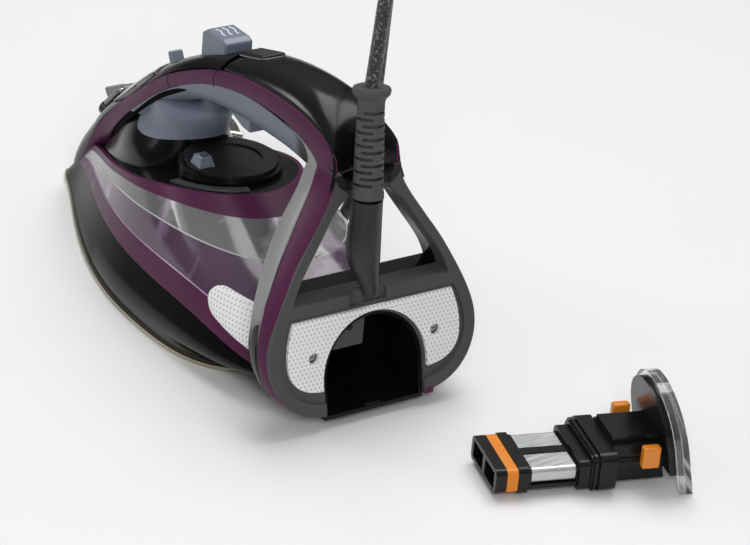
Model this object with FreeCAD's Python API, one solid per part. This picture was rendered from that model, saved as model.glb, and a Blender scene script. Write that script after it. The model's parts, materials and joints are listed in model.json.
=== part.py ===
"""Corded steam iron with a removable calc cartridge, one STEP file per piece.

Frame: millimetres, +Z up, +Y to the nose, origin on the underside of the soleplate.
"""
import FreeCAD, Part
import math
import os

from FreeCAD import Vector as V

os.makedirs("parts", exist_ok=True)

# ---- driving dimensions ------------------------------------------------------------
SOLE_TIP = 134.0            # nose of the soleplate
SOLE_REAR = -128.0          # back edge of the soleplate
SOLE_HALF = 62.5            # widest half width of the soleplate
SOLE_THICK = 2.8
WIDEST_Y = -52.0            # station where the soleplate is widest
WALL = 2.0                  # moulded wall
HEEL_Y = -195.0             # heel face where it would meet the floor
HEEL_LEAN = 0.204           # heel face leans forward by this much per unit of height
HEEL_DEPTH = 24.0           # fore and aft depth of the heel frame
BAND_DEPTH = 12.0           # purple outer skin of the heel
BAND_SKIN = 2.6             # purple skin of the handle
HEEL_SKIN = 1.3
RIM = 0.8                   # grey edge of the heel face in front of its purple skin
ARCH_R = 30.5               # cartridge bay arch
ARCH_Z = 26.5
BAY_FLOOR = 5.0
DIAL_Y = -40.0
DIAL_R = 27.5
DIAL_Z = 80.5
CORD_D = 7.5
GAP = 0.4                   # clearance round a moving control
BAY_DEPTH = 52.0
THROAT_HALF = 23.5
THROAT_LOW = 4.6
THROAT_HIGH = 26.0
THROAT_END = -84.0

NODES = {}


def node(name, shape):
    """Keep a shape under its node name."""
    NODES[name] = shape


# ---- small shape helpers -----------------------------------------------------------
def spline(points, closed=False):
    curve = Part.BSplineCurve()
    curve.interpolate(Points=points, PeriodicFlag=closed)
    return curve.toShape()


def loft(wires, ruled=False):
    return Part.makeLoft(wires, True, ruled)


def block(x0, x1, y0, y1, z0, z1):
    return Part.makeBox(x1 - x0, y1 - y0, z1 - z0, V(x0, y0, z0))


def rounded_block(x0, x1, y0, y1, z0, z1, r):
    body = block(x0, x1, y0, y1, z0, z1)
    return body.makeFillet(r, body.Edges)


def cylinder(r, h, base, axis=V(0, 0, 1)):
    return Part.makeCylinder(r, h, base, axis)


def polygon_prism(points, direction):
    """A closed polygon pushed along a vector."""
    return Part.Face(Part.makePolygon(points + points[:1])).extrude(direction)


def mirrored(shape):
    return shape.mirror(V(0, 0, 0), V(1, 0, 0))


def without_chips(shape, share=0.05):
    """The main solids of a shape, without the chips that a cut leaves."""
    smallest = share * max(solid.Volume for solid in shape.Solids)
    return Part.makeCompound([solid for solid in shape.Solids if solid.Volume > smallest])


def spring(r_wire, r_coil, height, turns, base):
    helix = Part.makeHelix(height / turns, height, r_coil)
    start = V(r_coil, 0, 0)
    profile = Part.Wire(Part.makeCircle(r_wire, start, V(0, 1, 0)))
    coil = Part.Wire(helix).makePipeShell([profile], True, True)
    coil.translate(base)
    return coil


# ---- main body: horizontal outlines -------------------------------------------------
# height: nose, half width, station of the widest point, rear, squareness of the rear
BODY_LEVELS = [
    (4.4, 131.5, 60.9, WIDEST_Y, -127.0, 3.0),
    (11.0, 125.2, 61.4, WIDEST_Y, -152.0, 3.2),
    (20.0, 118.5, 60.0, WIDEST_Y, -176.0, 3.4),
    (40.0, 104.5, 55.5, -50.0, -167.0, 3.0),
    (58.0, 89.5, 50.0, -42.0, -133.0, 2.6),
    (70.0, 79.0, 45.0, -32.0, -104.0, 2.3),
    (84.0, 66.0, 38.5, -24.0, -72.0, 2.1),
]


NOSE_ROUND = 4.0            # radius at the very tip of every outline


def outline_points(nose, half, widest, rear, squareness, steps=9):
    """Right-hand half of an iron outline, nose first."""
    length = nose - widest
    points = [V(0, nose, 0)]
    for i in range(1, steps + 3):
        share = (i / (steps + 2)) ** 2
        back = length * share
        tip_width = 2 * NOSE_ROUND * back * math.exp(-back / 14)
        x = math.sqrt((half * math.sin(math.pi / 2 * share)) ** 2 + tip_width)
        points.append(V(x, nose - back, 0))
    for i in range(1, steps):
        a = math.pi / 2 * i / steps
        x = half * math.cos(a) ** (2 / squareness)
        y = widest - (widest - rear) * math.sin(a) ** (2 / squareness)
        points.append(V(x, y, 0))
    points.append(V(0, rear, 0))
    return points


def outline_wire(nose, half, widest, rear, squareness, z):
    right = outline_points(nose, half, widest, rear, squareness)
    left = [V(-p.x, p.y, 0) for p in reversed(right[1:-1])]
    ring = [V(p.x, p.y, z) for p in right + left]
    return Part.Wire(spline(ring, True))


def body_loft(inset):
    wires = []
    for z, nose, half, widest, rear, squareness in BODY_LEVELS:
        wires.append(outline_wire(nose - 1.9 * inset, half - inset, widest, rear + inset, squareness, z))
    return loft(wires)


def profile_zone(low, high, reach=90.0):
    """Space between two side-view lines, each a list of (y, z), through the whole width."""
    bottom = [V(-reach, y, z) for y, z in low]
    top = [V(-reach, y, z) for y, z in high]
    lower = spline(bottom)
    upper = spline(top)
    ends = [Part.makeLine(bottom[-1], top[-1]), Part.makeLine(top[0], bottom[0])]
    wire = Part.Wire(Part.__sortEdges__([lower, upper] + ends))
    return Part.Face(wire).extrude(V(2 * reach, 0, 0))


FLOOR_LINE = [(-200, 4.4), (0, 4.4), (150, 4.4)]
SKIRT_TOP = [(-200, 12), (-150, 22.5), (-100, 30), (-57, 32), (-18, 33), (18, 32), (75, 26), (100, 21), (150, 9)]
BAND_TOP = [(-200, 30), (-150, 37), (-100, 42.5), (-66, 44), (-10, 43.5), (33, 40), (75, 33.5), (100, 27), (150, 12)]
TANK_TOP = [(-200, 57), (-150, 60), (-95, 62), (-54, 61), (-22, 58.5), (0, 55.5), (25, 50), (75, 37.5), (100, 30),
            (150, 14)]
WINDOW_TOP = [(-200, 70), (-150, 72.5), (-92, 73.6), (-57, 72.3), (-33, 69), (-16, 66), (8, 60.5), (30, 54),
              (75, 40.8), (100, 32.5), (150, 16)]
DECK_LINE = [(-200, 77), (-150, 79.5), (-100, 80.5), (-70, 80), (-41, 76), (-13, 69.5), (11, 63), (36, 55.5),
             (75, 44), (100, 36), (150, 19)]
SKY_LINE = [(-200, 200), (0, 200), (150, 200)]


def shifted(line, dz):
    return [(y, z + dz) for y, z in line]


body = body_loft(0.0)
body_inner = body_loft(WALL)

# ---- handle and spine: upright cross-sections ---------------------------------------
# station: crown, underside, half width, squareness
HANDLE_STATIONS = [
    (119.0, 21.5, 8.0, 6.0, 2.0),
    (109.0, 35.3, 16.0, 9.5, 2.0),
    (97.0, 49.3, 26.0, 12.5, 2.0),
    (84.0, 62.8, 38.0, 15.0, 2.0),
    (66.0, 80.0, 52.0, 17.3, 2.0),
    (45.0, 95.6, 66.0, 19.0, 2.1),
    (20.0, 115.5, 86.0, 20.0, 2.3),
    (-5.0, 131.2, 104.0, 20.3, 2.5),
    (-35.0, 144.8, 116.0, 20.3, 2.7),
    (-70.0, 156.0, 120.5, 20.3, 2.7),
    (-105.0, 162.0, 121.5, 20.3, 2.7),
    (-135.0, 161.5, 120.0, 20.5, 2.7),
    (-153.0, 156.0, 120.0, 20.5, 2.7),
    (-165.0, 150.5, 121.0, 20.5, 2.7),
    (-176.0, 147.0, 120.0, 20.5, 2.7),
]


def section_wire(y, crown, underside, half, n, inset=0.0, steps=20):
    mid = (crown + underside) / 2
    high = (crown - underside) / 2 - inset
    wide = half - inset
    ring = []
    for i in range(steps):
        a = 2 * math.pi * i / steps
        c, s = math.cos(a), math.sin(a)
        x = wide * math.copysign(abs(c) ** (2 / n), c)
        z = mid + high * math.copysign(abs(s) ** (2 / n), s)
        ring.append(V(x, y, z))
    return Part.Wire(spline(ring, True))


def handle_loft(inset):
    return loft([section_wire(*station, inset=inset) for station in HANDLE_STATIONS])


handle = handle_loft(0.0)
handle_inner = handle_loft(BAND_SKIN)

BAND_LOW = [(-170, 131), (-150, 137), (-118, 141), (-91, 141.5), (-64, 138), (-36, 129.5),
            (-5, 114.5), (28, 91), (51, 71), (68, 54), (80, 42.5), (95, 25), (110, 7), (125, -8)]
BAND_HIGH = [(-170, 143), (-150, 148), (-130, 151.5), (-90, 151), (-52, 144), (-19, 131),
             (0, 121), (21, 106), (47, 86), (62, 73), (76, 58.5), (84, 48.5), (93, 37.3), (103, 26), (125, 4)]

band_zone = profile_zone(BAND_LOW, BAND_HIGH)
above_band = profile_zone(BAND_HIGH, [(-170, 230), (0, 230), (125, 230)])
below_band = profile_zone([(-170, -30), (0, -30), (125, -30)], BAND_LOW)

# ---- front pillar: horizontal teardrop sections -------------------------------------
# height: front, rear, half width, station of the widest point
PILLAR_LEVELS = [
    (38.0, 97.0, -16.0, 36.0, 6.0),
    (48.0, 92.0, -16.5, 34.0, 6.0),
    (58.0, 84.0, -17.0, 31.0, 6.0),
    (68.0, 76.0, -18.0, 29.5, 6.0),
    (78.0, 66.0, -19.0, 25.0, 4.0),
    (90.0, 54.0, -22.0, 19.5, 1.0),
    (104.0, 37.0, -27.0, 17.0, -3.0),
    (120.0, 14.0, -36.0, 16.5, -12.0),
]


def pillar_wire(z, front, rear, half, widest, inset=0.0, steps=10):
    """Teardrop outline: a slender front and a round back."""
    right = []
    for i in range(steps):
        t = math.sin(math.pi / 2 * i / steps)
        right.append(V((half - inset) * (1 - t * t) ** 1.25, widest + (front - inset * 1.6 - widest) * t, z))
    back = []
    for i in range(1, steps):
        a = math.pi / 2 * i / steps
        back.append(V((half - inset) * math.cos(a), widest + (rear + inset - widest) * math.sin(a), z))
    half_ring = [V(0, front - inset * 1.6, z)] + right[:0:-1] + [right[0]] + back + [V(0, rear + inset, z)]
    other = [V(-p.x, p.y, z) for p in reversed(half_ring[1:-1])]
    return Part.Wire(spline(half_ring + other, True))


def pillar_loft(inset):
    return loft([pillar_wire(*level, inset=inset) for level in PILLAR_LEVELS])


pillar = pillar_loft(0.0)
pillar_inner = pillar_loft(WALL)

# ---- soleplate and heater -----------------------------------------------------------
def sole_wire(inset, z):
    return outline_wire(SOLE_TIP - 1.9 * inset, SOLE_HALF - inset, WIDEST_Y, SOLE_REAR + inset, 3.0, z)


def sole_slab(inset, z0, z1):
    return Part.Face(sole_wire(inset, z0)).extrude(V(0, 0, z1 - z0))


def soleplate():
    plate = loft([sole_wire(1.6, 0.0), sole_wire(0.35, 0.9), sole_wire(0.0, SOLE_THICK)], True)
    hole_r = 1.6
    for y, half in ((92, 12), (70, 22), (46, 32), (20, 40), (-8, 46), (-38, 50), (-68, 50), (-96, 44)):
        for x in (-half, half):
            plate = plate.cut(cylinder(hole_r, SOLE_THICK + 2, V(x, y, -1)))
    return plate


node("soleplate", soleplate())
node("sole_gasket", sole_slab(1.3, SOLE_THICK, 4.2).cut(sole_slab(5.0, SOLE_THICK - 1, 6)))

ELEMENT_R = 3.6
ELEMENT_Z = 14.0
element_path = Part.Wire([
    Part.makeLine(V(-30, -104, ELEMENT_Z), V(-30, 20, ELEMENT_Z)),
    Part.Arc(V(-30, 20, ELEMENT_Z), V(0, 50, ELEMENT_Z), V(30, 20, ELEMENT_Z)).toShape(),
    Part.makeLine(V(30, 20, ELEMENT_Z), V(30, -104, ELEMENT_Z)),
])


def element_tube(radius):
    ring = Part.Wire(Part.makeCircle(radius, V(-30, -104, ELEMENT_Z), V(0, 1, 0)))
    return element_path.makePipeShell([ring], True, False)


def heater_casting():
    casting = sole_slab(9.0, SOLE_THICK, ELEMENT_Z)
    casting = casting.cut(block(-20, 20, -70, 34, 8, 20))
    casting = casting.cut(block(-THROAT_HALF - 0.5, THROAT_HALF + 0.5, -140, THROAT_END + 0.5, 4, 20))
    return casting.cut(element_tube(ELEMENT_R))


node("heater_casting", heater_casting())
node("heating_element", element_tube(ELEMENT_R))
node("steam_chamber_cover", block(-22, 22, -72, 36, ELEMENT_Z, ELEMENT_Z + 1.6))
spindle_top = DIAL_Z - 12.4
node("thermostat", cylinder(9, 6, V(0, DIAL_Y, ELEMENT_Z + 1.6))
     .fuse(cylinder(2.0, spindle_top - ELEMENT_Z - 3, V(0, DIAL_Y, ELEMENT_Z + 3))))

# ---- side shells --------------------------------------------------------------------
heel_cut = polygon_prism(
    [V(-90, HEEL_Y + HEEL_DEPTH + 0.2 - 10 * HEEL_LEAN, -10),
     V(-90, HEEL_Y + HEEL_DEPTH + 0.2 + 200 * HEEL_LEAN, 200),
     V(-90, -260, 200), V(-90, -260, -10)], V(180, 0, 0))
shell = body.cut(body_inner).cut(heel_cut)

# ---- cartridge bay ------------------------------------------------------------------
def arch_face(radius, floor, y):
    left = V(-radius, y, ARCH_Z)
    right = V(radius, y, ARCH_Z)
    arc = Part.Arc(left, V(0, y, ARCH_Z + radius), right).toShape()
    sides = [Part.makeLine(right, V(radius, y, floor)), Part.makeLine(V(radius, y, floor), V(-radius, y, floor)),
             Part.makeLine(V(-radius, y, floor), left)]
    return Part.Face(Part.Wire([arc] + sides))


def arch_prism(radius, floor, y0, y1):
    return arch_face(radius, floor, y0).extrude(V(0, y1 - y0, 0))


bay_back = HEEL_Y + BAY_DEPTH
bay_space = arch_prism(ARCH_R - WALL, BAY_FLOOR + WALL, HEEL_Y - 10, bay_back - WALL)
bay_outer = arch_prism(ARCH_R, BAY_FLOOR, HEEL_Y - 10, bay_back)
throat_outer = block(-THROAT_HALF, THROAT_HALF, bay_back - WALL, THROAT_END, THROAT_LOW, THROAT_HIGH)
throat_space = block(-THROAT_HALF + WALL, THROAT_HALF - WALL, bay_back - 5, THROAT_END - WALL,
                     THROAT_LOW + WALL, THROAT_HIGH - WALL)


def heel_slab(near, far, low=-30.0, high=230.0):
    """Space between two planes parallel to the heel face, measured forward of it."""
    return polygon_prism(
        [V(-90, HEEL_Y + near + low * HEEL_LEAN, low), V(-90, HEEL_Y + near + high * HEEL_LEAN, high),
         V(-90, HEEL_Y + far + high * HEEL_LEAN, high), V(-90, HEEL_Y + far + low * HEEL_LEAN, low)],
        V(180, 0, 0))


GUARD_BASE = V(-8.5, -185.0, 71.0)
GUARD_AXIS = V(0.063, 0.165, 1.0).normalize()
GUARD_TOP = 109.0          # length of stem and guard along their axis
COLLAR = 51.0               # where the flexible guard starts
guard_channel = cylinder(10.6, 120, GUARD_BASE, GUARD_AXIS)
guard_channel = guard_channel.fuse(mirrored(guard_channel))


bay_liner = bay_outer.fuse(throat_outer).cut(bay_space).cut(throat_space)
bay_liner = bay_liner.common(heel_slab(2.5, 300))

rear_gate = block(-THROAT_HALF - 0.3, THROAT_HALF + 0.3, -200, THROAT_END + 0.3, 0, THROAT_HIGH + 0.3)
node("skirt", shell.common(profile_zone(FLOOR_LINE, SKIRT_TOP)).cut(bay_outer).cut(rear_gate))
node("lower_band", without_chips(shell.common(profile_zone(SKIRT_TOP, BAND_TOP)).cut(bay_outer)))
node("tank_side", without_chips(shell.common(profile_zone(BAND_TOP, TANK_TOP)).cut(bay_outer)))
node("tank_window", without_chips(shell.common(profile_zone(TANK_TOP, WINDOW_TOP))))
node("upper_band", without_chips(shell.common(profile_zone(WINDOW_TOP, DECK_LINE))))
catch = block(-4, 4, -186, -172, BAY_FLOOR + WALL - 0.5, BAY_FLOOR + WALL + 2.5)
node("bay_liner", bay_liner.fuse(catch))

deck_room = profile_zone(shifted(DECK_LINE, -2.4), DECK_LINE)
dial_well = cylinder(DIAL_R + 1.2, 11, V(0, DIAL_Y, DIAL_Z - 6.1))
dial_well = dial_well.fuse(cylinder(3.2, 30, V(0, DIAL_Y, DIAL_Z - 24)))
deck = body_inner.common(deck_room).cut(handle).cut(pillar).cut(dial_well)
node("deck_plate", deck)
node("tank_floor", body_inner.common(block(-80, 80, -138, 60, 27.0, 28.6)).cut(bay_outer)
     .cut(cylinder(4, 30, V(0, DIAL_Y, 10))))

# ---- pillar, handle -----------------------------------------------------------------
above_deck = profile_zone(DECK_LINE, SKY_LINE)
GRIP_LOW = [(-60, 89), (-20, 88), (-6, 84), (6, 81), (20, 79), (27, 80), (33, 88), (37, 104)]
grip_zone = profile_zone(GRIP_LOW, [(-60, 230), (0, 230), (37, 230)])
pillar_skin = pillar.cut(pillar_inner).cut(handle).common(above_deck)
node("front_dome", without_chips(pillar_skin.cut(grip_zone).cut(dial_well)))
node("grip_cover", without_chips(pillar_skin.common(grip_zone)))

handle_body = handle.common(heel_slab(0, 400)).cut(guard_channel)
SEAM_FRONT = 4.0
SEAM_REAR = -53.0
TOP_BUTTON = (-41.5, -17.0, 8.8)
button_well = block(-TOP_BUTTON[2] - GAP, TOP_BUTTON[2] + GAP, TOP_BUTTON[0] - GAP, TOP_BUTTON[1] + GAP, 122, 200)
INSERT = (-77.0, -51.0, 7.6)
insert_well = block(-INSERT[2] - GAP, INSERT[2] + GAP, INSERT[0] - GAP, INSERT[1] + GAP, 143, 200)
LEVER_BASE = V(0, 17.0, 111.5)
LEVER_TILT = -30.0
LEVER_TRAVEL = 3.0


def lever_plate(half, thick, low, high):
    plate = block(-half, half, -thick, thick, low, high)
    plate.rotate(V(0, 0, 0), V(1, 0, 0), LEVER_TILT)
    plate.translate(LEVER_BASE)
    return plate


lever_slot = lever_plate(4.2 + LEVER_TRAVEL + GAP, 1.7 + GAP, -20, 20)
upper_space = handle_loft(4.2)
hollow_handle = handle.cut(upper_space).common(heel_slab(0, 400)).cut(guard_channel)
top_shell = hollow_handle.common(above_band).cut(body)
top_shell = top_shell.cut(button_well).cut(insert_well)
spine_room = block(-60, 60, SEAM_FRONT + 0.2, 200, -20, 220)
middle_room = block(-60, 60, SEAM_REAR + 0.2, SEAM_FRONT - 0.2, -20, 220)
rear_room = block(-60, 60, -260, SEAM_REAR - 0.2, -20, 220)
NOZZLE_AXIS = V(0, 1.0, 0.12).normalize()
NOZZLE_BASE = V(0, 82.0, 57.0)
NOZZLE_R = 4.8
nozzle_hole = cylinder(NOZZLE_R + 0.05, 60, NOZZLE_BASE - NOZZLE_AXIS * 5, NOZZLE_AXIS)
node("nose_spine", without_chips(top_shell.common(spine_room).cut(lever_slot).cut(nozzle_hole)))
node("handle_top", top_shell.common(middle_room))
end_wall = upper_space.fuse(handle_inner.common(band_zone)).common(heel_slab(0.5, 7.0)).cut(guard_channel)
node("rear_handle_shell", top_shell.common(rear_room).fuse(end_wall))
band = handle_body.cut(handle_inner).common(band_zone).cut(body)
node("handle_bands", band)

TRIGGER = (-66.0, -30.0, 6.0)
trigger_well = block(-TRIGGER[2] - GAP, TRIGGER[2] + GAP, TRIGGER[0] - 1.2, TRIGGER[1] + 1.2, 90, 136)
under = hollow_handle.common(below_band).cut(body)
TRIGGER_PIVOT = V(0, -33.5, 122.0)
PIN_R = 1.0
trigger_pin = cylinder(PIN_R, 16, V(-8, TRIGGER_PIVOT.y, TRIGGER_PIVOT.z), V(1, 0, 0))


def pump_cylinder(room):
    """Spray pump body, grown all round by the room it needs."""
    axis = V(0, -1, 0.45).normalize()
    return cylinder(6.0 + room, 26 + 2 * room, V(0, 12, 104) - axis * room, axis)


node("handle_underside", without_chips(
    under.cut(pillar).cut(trigger_well).cut(trigger_pin).cut(pump_cylinder(0.3))))


# ---- heel frame -----------------------------------------------------------------------
HEEL_OUTLINE = [(0, 6.0), (18, 6.3), (32, 7.4), (45.5, 11), (54.5, 17), (61, 25.5), (64.6, 36), (64.8, 46),
                (60.6, 60.5), (53, 76), (43.6, 92), (35.8, 103), (27.6, 114.5), (21.8, 126), (17.6, 137.5),
                (11, 145.5), (0, 148)]
LOOP_SIDE = [(48, 69.5), (46.2, 75), (37.2, 90), (26.8, 105), (19.8, 114.5), (12, 120), (0, 121.5)]
BAR_TOP = LOOP_SIDE[0][1]


def heel_point(x, z, depth=0.0):
    return V(x, HEEL_Y + HEEL_LEAN * z + depth, z)


def heel_ring(inset, depth):
    """Closed outline of the heel, drawn in by inset, at a depth forward of the face."""
    half = HEEL_OUTLINE
    full = half + [(-x, z) for x, z in reversed(half[1:-1])]
    count = len(full)
    points = []
    for i, (x, z) in enumerate(full):
        (xa, za), (xb, zb) = full[i - 1], full[(i + 1) % count]
        length = math.hypot(xb - xa, zb - za)
        points.append(heel_point(x - (zb - za) / length * inset, z + (xb - xa) / length * inset, depth))
    return Part.Wire(spline(points, True))


def heel_prism(inset, near, far):
    return Part.Face(heel_ring(inset, near)).extrude(V(0, far - near, 0))


def loop_prism(grow=0.0):
    side = [heel_point(x + grow * (x > 0), z + grow * (z > 100) - grow * (z < 70), -20) for x, z in LOOP_SIDE]
    other = [V(-p.x, p.y, p.z) for p in reversed(side[:-1])]
    arch = spline(side + other)
    base = Part.makeLine(other[-1], side[0])
    return Part.Face(Part.Wire([arch, base])).extrude(V(0, 90, 0))


loop_space = loop_prism()
bay_gap = arch_prism(ARCH_R + 0.1, -10.0, -230, -120)
heel_pocket = heel_prism(6.5, 3.2, 60).common(heel_slab(-5, 80, -10, BAR_TOP - 2.6))
rim_recess = heel_prism(8.0, -5, 1.3).common(heel_slab(-5, 80, -10, BAR_TOP - 6.5))
stem_notch = cylinder(7.2, 40, GUARD_BASE - GUARD_AXIS * 8, GUARD_AXIS)
stem_notch = stem_notch.fuse(block(GUARD_BASE.x, -GUARD_BASE.x, -200, -179.5, 63, 90))
base_ball_room = Part.makeSphere(7.0, GUARD_BASE)
common_cuts = [loop_space, bay_gap, heel_pocket, handle, guard_channel, stem_notch, base_ball_room]


def cut_all(shape, tools):
    for tool in tools:
        shape = shape.cut(tool)
    return shape


SCREW_X = 37.7
SCREW_Z = 41.0
screw_holes = [cylinder(2.7, 3.2, heel_point(x, SCREW_Z, -0.2), V(0, 1, 0)) for x in (-SCREW_X, SCREW_X)]
heel_frame = heel_prism(HEEL_SKIN, 0, BAND_DEPTH)
heel_frame = cut_all(heel_frame, common_cuts + [rim_recess] + screw_holes)
heel_band = cut_all(heel_prism(0, RIM, BAND_DEPTH).cut(heel_prism(HEEL_SKIN, -5, BAND_DEPTH + 5)),
                    [bay_gap, handle, guard_channel])
bevel = loft([heel_ring(0.0, BAND_DEPTH), heel_ring(0.8, BAND_DEPTH + 6), heel_ring(3.5, HEEL_DEPTH)])
bevel = cut_all(bevel, common_cuts)


node("heel_frame", heel_frame)
node("heel_band", heel_band)
node("heel_bevel", bevel)

PAD_SIDE = [(49.0, 61.0), (52.4, 50), (53.2, 40), (51.5, 32), (46.5, 26.5), (40, 23.6), (31, 22.5)]


def heel_pad():
    right = [heel_point(x, z, -0.7) for x, z in PAD_SIDE]
    left = [V(-p.x, p.y, p.z) for p in reversed(right)]
    wire = Part.Wire([spline(right), Part.makeLine(right[-1], left[0]), spline(left),
                      Part.makeLine(left[-1], right[0])])
    pad = Part.Face(wire).extrude(V(0, 1.9, 0))
    pad = pad.cut(arch_prism(ARCH_R + 1.8, -10, -230, -120)).cut(stem_notch)
    for x in (-SCREW_X, SCREW_X):
        pad = pad.cut(cylinder(2.9, 20, heel_point(x, SCREW_Z, -6), V(0, 1, 0)))
    return pad


node("heel_pad", heel_pad())


def heel_screw(x):
    centre = heel_point(x, SCREW_Z)
    head = cylinder(2.5, 1.6, centre + V(0, 1.4, 0), V(0, 1, 0))
    slot = block(x - 1.9, x + 1.9, centre.y - 1, centre.y + 2.0, 40.6, 41.4)
    return head.cut(slot)


node("heel_screws", Part.makeCompound([heel_screw(-SCREW_X), heel_screw(SCREW_X)]))
bracket = polygon_prism([V(-27, -176, 36), V(0, -176, 36), V(0, -176, 54), V(-13, -176, 52)], V(0, 2.4, 0))
node("bay_bracket", bracket.cut(cylinder(1.8, 20, V(-8.5, -184, 47), V(0, 1, 0))).common(bay_space))

# ---- cord guard -----------------------------------------------------------------------
def along_guard(distance):
    return GUARD_BASE + GUARD_AXIS * distance


def turned(profile):
    """Solid of revolution about the guard axis from (radius, distance) points."""
    points = [V(r, 0, d) for r, d in profile]
    solid = Part.Face(Part.makePolygon(points + points[:1])).revolve(V(0, 0, 0), V(0, 0, 1), 360)
    solid.Placement = FreeCAD.Placement(GUARD_BASE, FreeCAD.Rotation(V(0, 0, 1), GUARD_AXIS))
    return solid


CORD_R = CORD_D / 2
BORE = CORD_R + 0.25
node("guard_stem", turned([(0, -5.5), (4, -4), (5.5, 0), (6.2, 6), (8.6, 16), (9.6, 22), (9.2, 32), (8.3, COLLAR - 1.5),
                           (8.3, COLLAR - 0.3), (0, COLLAR - 0.3)]))
guard_body = turned([(BORE, COLLAR), (8.4, COLLAR), (8.4, COLLAR + 3), (8.0, COLLAR + 4), (6.9, GUARD_TOP - 8.5),
                     (7.4, GUARD_TOP - 6.5), (9.6, GUARD_TOP - 4), (10.0, GUARD_TOP - 1.8), (9.4, GUARD_TOP - 0.6),
                     (8.0, GUARD_TOP), (BORE, GUARD_TOP)])
SLOT_COUNT = 12
for i in range(SLOT_COUNT):
    start = COLLAR + 7 + i * 3.4
    ring = turned([(5.6, start), (12, start), (12, start + 1.5), (5.6, start + 1.5)])
    edge = [V(-11.5, -230, 60), V(-5.5, -230, 60), V(3.9, -230, 220), V(-2.1, -230, 220)]
    keep_y = polygon_prism(edge, V(0, 120, 0))
    if i % 2:
        keep_y.rotate(GUARD_BASE, GUARD_AXIS, 90)
    guard_body = guard_body.cut(ring.cut(keep_y))
node("cord_guard", guard_body)

# ---- mains cord: route from the guard over and down behind, then a flat coil ------------
COIL_X = 62.0
COIL_Y = 126.0
COIL_MIDDLE_R = 37.5
COIL_LAYERS = 3
COIL_COLUMNS = 2
cord_exit = along_guard(GUARD_TOP)
FLOOR_Z = CORD_R + 0.1

CORD_ROUTE = [
    cord_exit,
    V(0.0, -171.0, 232.0),
    V(13.0, -156.0, 279.0),
    V(37.0, -125.0, 300.0),
    V(62.0, -91.0, 286.0),
    V(76.5, -69.0, 243.0),
    V(78.5, -62.5, 170.0),
    V(80.0, -57.5, 100.0),
    V(81.0, -47.0, 47.0),
    V(83.0, -22.0, 12.0),
    V(84.0, 12.0, FLOOR_Z),
    V(90.0, 48.0, FLOOR_Z),
    V(101.0, 84.0, FLOOR_Z),
    V(COIL_X + COIL_MIDDLE_R + CORD_R, 118.0, FLOOR_Z),
]


def cord_tube(points, radius, share=0.45):
    """Straight runs joined by tangent arcs, as one tube."""
    edges = []
    radii = []
    start = points[0]
    for before, corner, after in zip(points, points[1:], points[2:]):
        into = (before - corner)
        out = (after - corner)
        shorter = min(into.Length, out.Length)
        cut = share * shorter
        a = corner + V(into).normalize() * cut
        b = corner + V(out).normalize() * cut
        turn = math.pi - into.getAngle(out)
        radii.append(round(cut / math.tan(turn / 2), 1))
        bisector = (V(into).normalize() + V(out).normalize()).normalize()
        arc_r = radii[-1]
        middle_gap = arc_r / math.cos(turn / 2) - arc_r
        arc = Part.Arc(a, corner + bisector * middle_gap, b)
        edges.append(Part.makeLine(start, a))
        edges.append(arc.toShape())
        start = b
    edges.append(Part.makeLine(start, points[-1]))
    path = Part.Wire(edges)
    direction = (points[1] - points[0]).normalize()
    ring = Part.Wire(Part.makeCircle(radius, points[0], direction))
    tube = path.makePipeShell([ring], True, False)
    print("cord runs", [round((b - a).Length) for a, b in zip(points, points[1:])])
    print("cord radii", radii)
    print("cord path", round(path.Length), "volume share", tube.Volume / (path.Length * math.pi * radius ** 2))
    return tube


node("cord_lead", cord_tube(CORD_ROUTE, CORD_R))
coil_half_width = COIL_COLUMNS * CORD_D / 2
coil_ring = cylinder(COIL_MIDDLE_R + coil_half_width, COIL_LAYERS * CORD_D, V(COIL_X, COIL_Y, 0.1))
coil_ring = coil_ring.cut(cylinder(COIL_MIDDLE_R - coil_half_width, 60, V(COIL_X, COIL_Y, -10)))
node("cord_coil", coil_ring)

PLUG_HALF = 10.8
PLUG_TURN = 135.0           # the plug lies along a chord of the coil
PLUG_TAIL = V(COIL_X - 31.1, COIL_Y - 14.1, COIL_LAYERS * CORD_D + 0.1 + PLUG_HALF)


def plug_body():
    """Moulded two-pin plug, tail at its origin and pins towards -X."""
    stations = [(0, 5.2, 5.2), (10, 7.0, 7.0), (22, 13.5, 9.0), (36, 15.5, 10.4), (44, 16.0, PLUG_HALF)]
    wires = []
    for s, wide, high in stations:
        ring = []
        for i in range(20):
            a = 2 * math.pi * i / 20
            c, q = math.cos(a), math.sin(a)
            y = wide * math.copysign(abs(c) ** 0.75, c)
            z = high * math.copysign(abs(q) ** 0.75, q)
            ring.append(V(-s, y, z))
        wires.append(Part.Wire(spline(ring, True)))
    return loft(wires)


plug = plug_body()
pins = Part.makeCompound([cylinder(2.4, 19, V(-44, y, 0), V(-1, 0, 0)) for y in (-9.5, 9.5)])
for shape in (plug, pins):
    shape.rotate(V(0, 0, 0), V(0, 0, 1), PLUG_TURN)
    shape.translate(PLUG_TAIL)
node("plug_body", plug)
node("plug_pins", pins)

# ---- controls ---------------------------------------------------------------------------
def button_block():
    y0, y1, half = TOP_BUTTON
    profile = [V(-half, y0, 141), V(-half, y0, 152.0), V(-half, y0 + 4, 153.6), V(-half, y1 - 5, 153.8),
               V(-half, y1, 150.5), V(-half, y1, 131), V(-half, y1 - 11, 131)]
    body_shape = polygon_prism(profile, V(2 * half, 0, 0))
    return body_shape.makeFillet(1.6, body_shape.Edges)


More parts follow.
